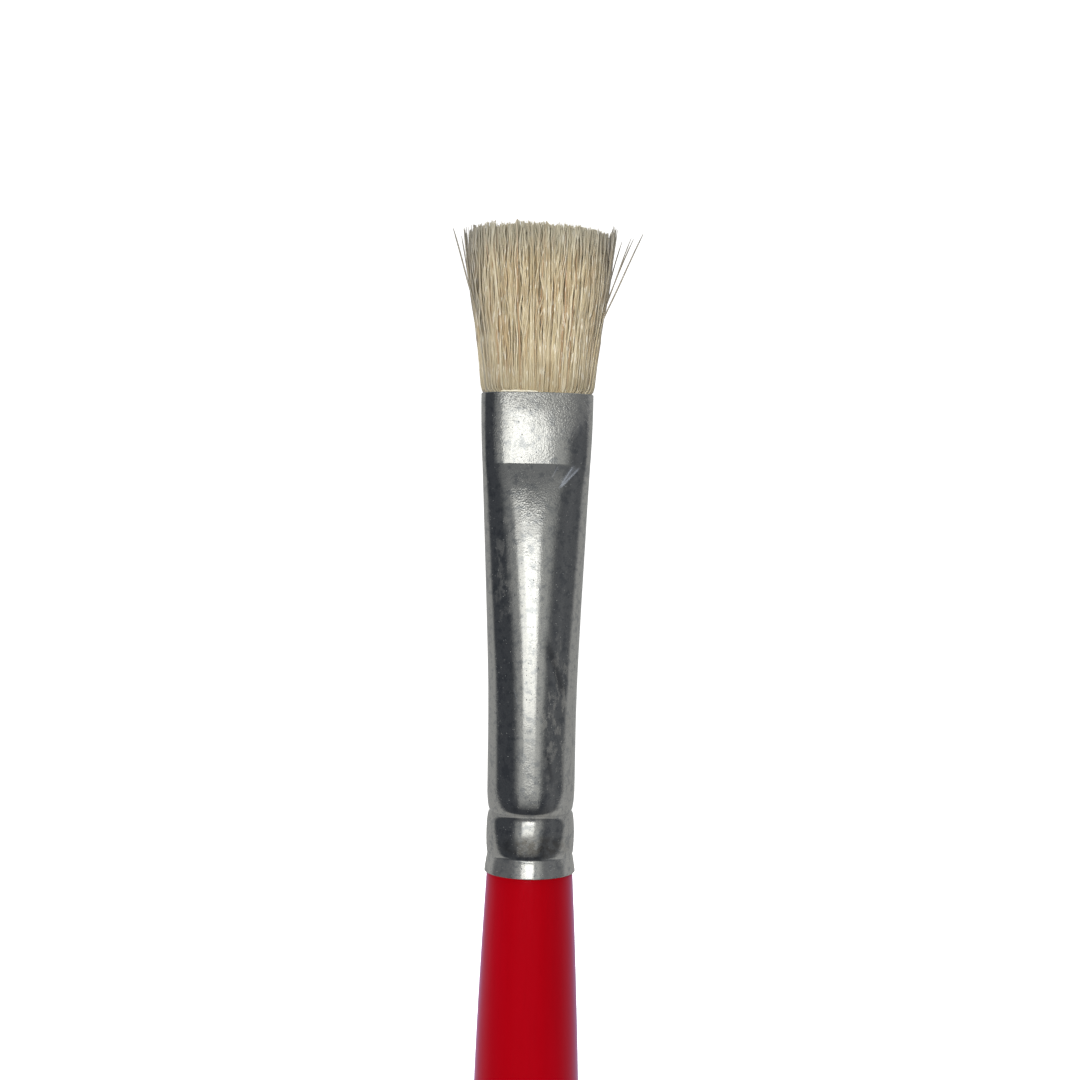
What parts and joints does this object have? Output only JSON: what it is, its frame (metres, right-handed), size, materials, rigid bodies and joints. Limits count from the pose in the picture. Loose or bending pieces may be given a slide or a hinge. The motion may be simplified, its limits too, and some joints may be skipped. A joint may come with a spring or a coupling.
{
  "type": "flat stencil brush",
  "caption": "Flat-ferrule hog bristle stencil brush with a crimped plated ferrule, a splayed square-cut tuft that flexes at the mouth, and a turned lacquered wooden handle.",
  "frame": {"origin": "on the brush's axis at the belly of the handle, where fingers or a brush stand hold it", "axes": "+Z along the brush from the butt of the handle to the bristle tips, +X across the wide side of the flat ferrule, -Y towards the viewer of its wide front face"},
  "size_m": [0.0168, 0.0104, 0.19],
  "materials": {
    "red_lacquer": "gloss",
    "nickel_plate": "satin",
    "hog_bristle": "matte",
    "cured_resin": "gloss",
    "wood_glue": "satin",
    "cotton_thread": "matte"
  },
  "bodies": {
    "held": {"handle": "red_lacquer", "ferrule": "nickel_plate", "tenon_glue": "wood_glue", "root_plug": "cured_resin", "root_binding": "cotton_thread", "bristle_roots": "hog_bristle"},
    "tuft": {"bristle_tuft": "hog_bristle", "edge_lock_left": "hog_bristle", "edge_lock_right": "hog_bristle", "stray_bristle_1": "hog_bristle", "stray_bristle_2": "hog_bristle", "stray_bristle_3": "hog_bristle", "stray_bristle_4": "hog_bristle", "stray_bristle_5": "hog_bristle", "stray_bristle_6": "hog_bristle"}
  },
  "joints": [
    {"name": "tuft_flex", "type": "hinge", "parent": "held", "child": "tuft", "pos_m": [0, 0, 0.08], "axis": [1, 0, 0], "range_deg": [-30, 30], "stiffness_Nm_per_rad": 0.03}
  ]
}
